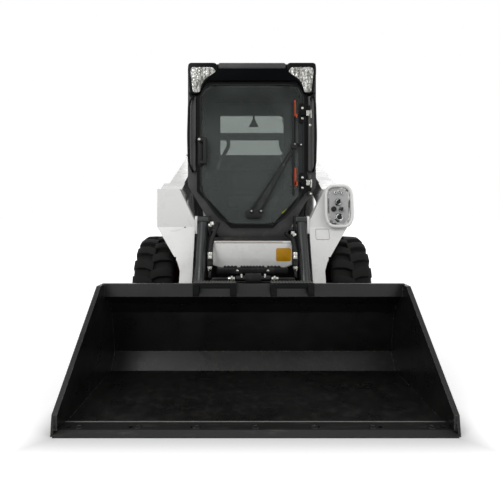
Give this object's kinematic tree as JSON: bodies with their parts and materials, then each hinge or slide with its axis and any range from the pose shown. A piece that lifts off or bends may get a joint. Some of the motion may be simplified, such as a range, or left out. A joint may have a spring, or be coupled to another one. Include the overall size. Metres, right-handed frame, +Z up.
{
  "type": "skid steer loader",
  "caption": "Compact skid steer loader with an enclosed cab, radius-lift arms, a quick-attach frame and a low smooth-edged bucket.",
  "frame": {"origin": "on the ground under the middle of the whole machine's bounding box", "axes": "-Y is the way the machine drives forward, +X is the operator's left, +Z is up"},
  "size_m": [1.727, 3.42, 2.03],
  "materials": {
    "white_paint": "satin white enamel, light scratches and dust",
    "black_paint": "satin black enamel",
    "bucket_paint": "satin black paint, scuffed along the floor and edge",
    "cab_black": "satin black powder coat",
    "rim_red": "dark red enamel",
    "tyre": "matt black tread rubber",
    "glass": "clear safety glass, slightly smoked",
    "lens": "clear lamp lens",
    "red_lens": "red lamp lens",
    "grey_plastic": "dark moulded plastic",
    "vinyl": "black vinyl seat cover",
    "chrome": "hard chromed rod",
    "engine_grey": "painted casting",
    "coupler_grey": "zinc plated block",
    "edge_steel": "black painted wear steel"
  },
  "bodies": {
    "chassis": {"mainframe": "black_paint", "axle_housings": "black_paint", "uprights": "white_paint", "engine": "engine_grey", "rear_deck": "white_paint", "tail_lamps": "red_lens", "cab_front": "cab_black", "cab_sides": "cab_black", "cab_back": "cab_black", "cab_windows": "glass", "cab_roof": "cab_black", "cab_floor": "cab_black", "seat": "vinyl", "seat_bar": "cab_black", "control_consoles": "grey_plastic", "work_lamps": "cab_black", "lamp_lenses": "lens", "grab_handles": "cab_black"},
    "arms": {"loader_arms": "white_paint", "arm_crossmembers": "black_paint", "front_panel": "white_paint", "front_step": "black_paint", "coupler_block": "coupler_grey"},
    "bucket": {"quick_attach": "black_paint", "lock_cylinder": "black_paint", "bucket_shell": "bucket_paint", "cutting_edge": "edge_steel", "bucket_steps": "black_paint"},
    "door": {"door_frame": "cab_black", "door_glass": "glass", "door_handle": "cab_black", "wiper": "cab_black"},
    "tailgate": {"tailgate": "white_paint"},
    "hood": {"hood": "white_paint"},
    "lift_barrels": {"lift_barrels": "black_paint"},
    "lift_rods": {"lift_rods": "chrome"},
    "tilt_barrels": {"tilt_barrels": "black_paint"},
    "tilt_rods": {"tilt_rods": "chrome"},
    "wheel_front_left": {"rim_front_left": "rim_red", "tyre_front_left": "tyre"},
    "wheel_front_right": {"rim_front_right": "rim_red", "tyre_front_right": "tyre"},
    "wheel_rear_left": {"rim_rear_left": "rim_red", "tyre_rear_left": "tyre"},
    "wheel_rear_right": {"rim_rear_right": "rim_red", "tyre_rear_right": "tyre"}
  },
  "joints": [
    {"name": "wheel_front_left_spin", "type": "hinge", "parent": "chassis", "child": "wheel_front_left", "pos_m": [0, -0.32, 0.3865], "axis": [1, 0, 0], "continuous": true},
    {"name": "wheel_front_right_spin", "type": "hinge", "parent": "chassis", "child": "wheel_front_right", "pos_m": [0, -0.32, 0.3865], "axis": [1, 0, 0], "continuous": true},
    {"name": "wheel_rear_left_spin", "type": "hinge", "parent": "chassis", "child": "wheel_rear_left", "pos_m": [0, 0.762, 0.3865], "axis": [1, 0, 0], "continuous": true},
    {"name": "wheel_rear_right_spin", "type": "hinge", "parent": "chassis", "child": "wheel_rear_right", "pos_m": [0, 0.762, 0.3865], "axis": [1, 0, 0], "continuous": true},
    {"name": "arm_lift", "type": "hinge", "parent": "chassis", "child": "arms", "pos_m": [0, 1.12, 1.505], "axis": [-1, 0, 0], "range_deg": [0, 67]},
    {"name": "bucket_tilt", "type": "hinge", "parent": "arms", "child": "bucket", "pos_m": [0, -0.8, 0.15], "axis": [-1, 0, 0], "range_deg": [-109, 28]},
    {"name": "door_hinge", "type": "hinge", "parent": "chassis", "child": "door", "pos_m": [0.417, -0.4, 1.4], "axis": [0, 0, 1], "range_deg": [0, 90]},
    {"name": "tailgate_hinge", "type": "hinge", "parent": "chassis", "child": "tailgate", "pos_m": [0.466, 1.62, 0.8], "axis": [0, 0, -1], "range_deg": [0, 100]},
    {"name": "hood_hinge", "type": "hinge", "parent": "chassis", "child": "hood", "pos_m": [0, 1.082, 1.306], "axis": [1, 0, 0], "range_deg": [0, 50]},
    {"name": "lift_barrel_swing", "type": "hinge", "parent": "chassis", "child": "lift_barrels", "pos_m": [0, 1.4, 0.76], "axis": [1, 0, 0], "range_deg": [-10.35, 0]},
    {"name": "lift_rod_slide", "type": "slide", "parent": "lift_barrels", "child": "lift_rods", "axis": [0, -0.7003, 0.7138], "range_m": [0, 0.325]},
    {"name": "tilt_barrel_swing", "type": "hinge", "parent": "arms", "child": "tilt_barrels", "pos_m": [0, -0.52, 0.893], "axis": [1, 0, 0], "range_deg": [-2.78, 0.72]},
    {"name": "tilt_rod_slide", "type": "slide", "parent": "tilt_barrels", "child": "tilt_rods", "axis": [0, -0.4695, -0.8829], "range_m": [-0.0584, 0.2271]}
  ],
  "couplings": [
    {"joint": "lift_barrel_swing", "follows": "arm_lift", "ratio": -0.1543},
    {"joint": "lift_rod_slide", "follows": "arm_lift", "m_per_rad": 0.2778},
    {"joint": "tilt_barrel_swing", "follows": "bucket_tilt", "ratio": 0.0254},
    {"joint": "tilt_rod_slide", "follows": "bucket_tilt", "m_per_rad": -0.1193}
  ]
}
